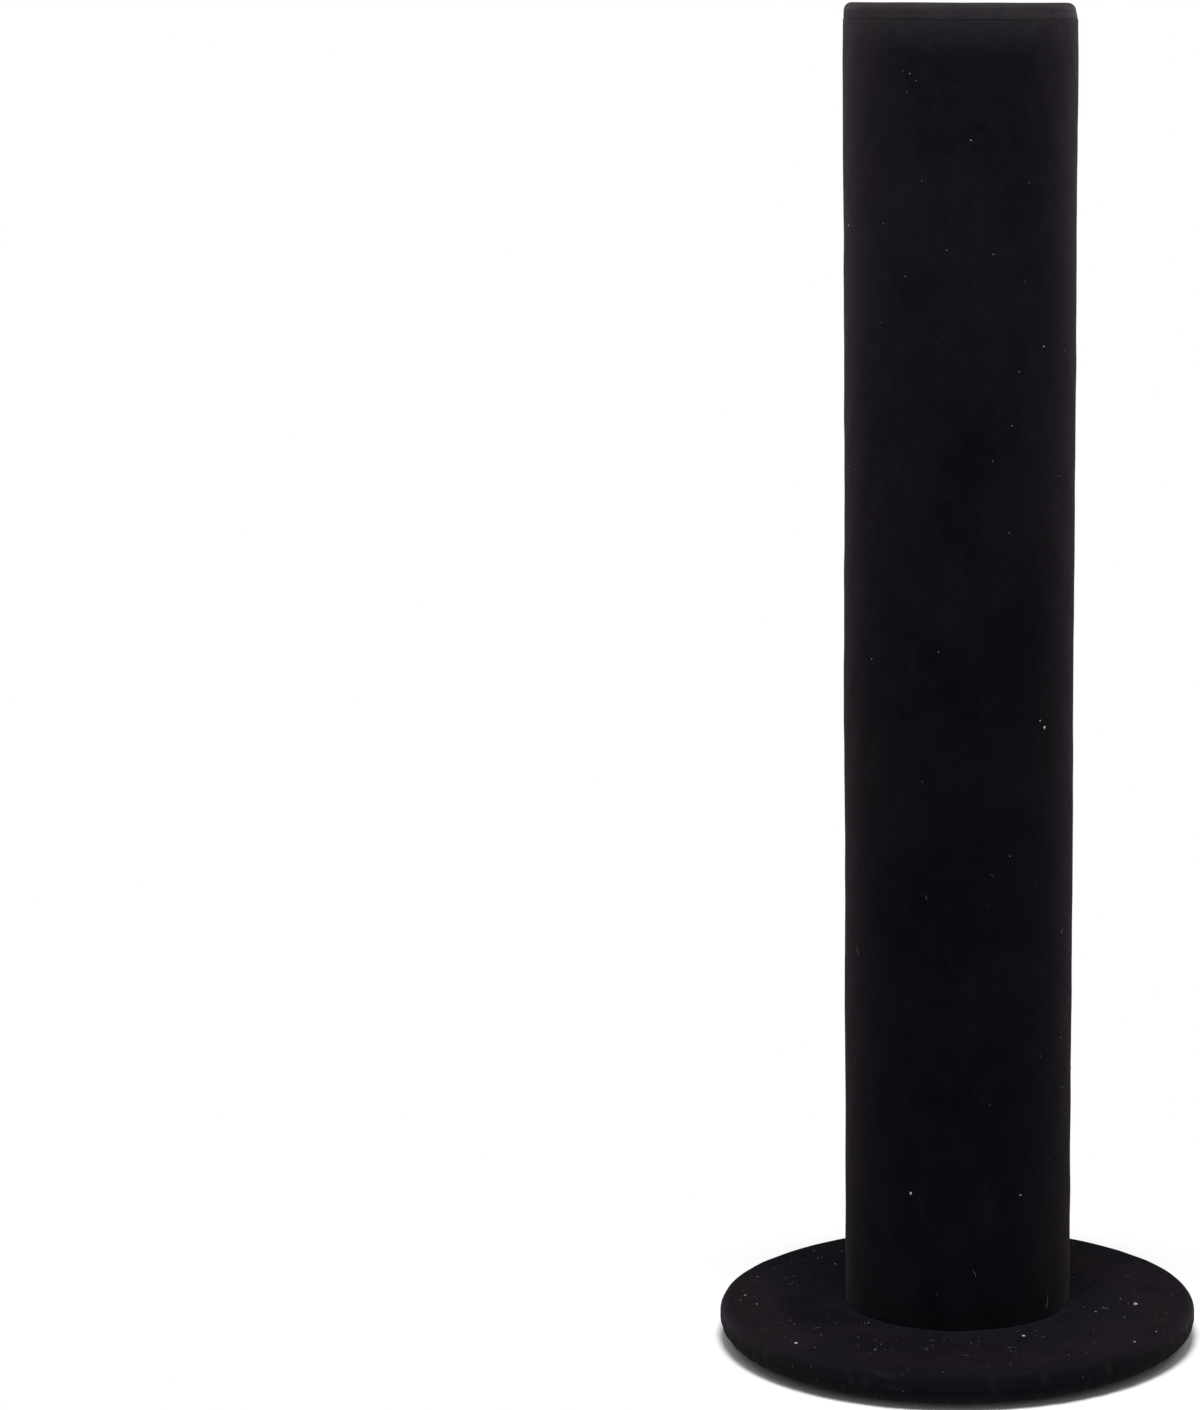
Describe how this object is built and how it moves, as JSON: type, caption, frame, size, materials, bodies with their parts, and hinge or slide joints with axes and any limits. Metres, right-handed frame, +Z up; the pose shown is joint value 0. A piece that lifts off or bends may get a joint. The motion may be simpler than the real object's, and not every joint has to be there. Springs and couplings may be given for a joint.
{
  "type": "jewelry stand",
  "caption": "Upright velvet-covered round column on a flat velvet-covered round base, for displaying bracelets and bangles.",
  "frame": {"origin": "centre of the flat ring that the base rests on, on the column's axis", "axes": "+Z up along the column's axis, -Y the front, +Y the back where the column's cloth is butted, +X to the right seen from the front"},
  "size_m": [0.127, 0.127, 0.3528],
  "materials": {
    "velvet": "short-pile black velvet with a soft sheen",
    "paper_board": "grey-brown paper board",
    "fibreboard": "raw medium-density fibreboard",
    "foam_sheet": "matte black non-slip foam sheet",
    "zinc_steel": "bright zinc plating"
  },
  "bodies": {
    "root": {"base_underlay": "foam_sheet", "base_velvet": "velvet", "base_board": "fibreboard", "screw_washer": "zinc_steel", "clamp_screw": "zinc_steel", "tee_nut": "zinc_steel", "foot_plug": "fibreboard", "column_tube": "paper_board", "top_plug": "fibreboard", "column_velvet": "velvet", "cap_board": "paper_board", "cap_velvet": "velvet"}
  },
  "joints": []
}
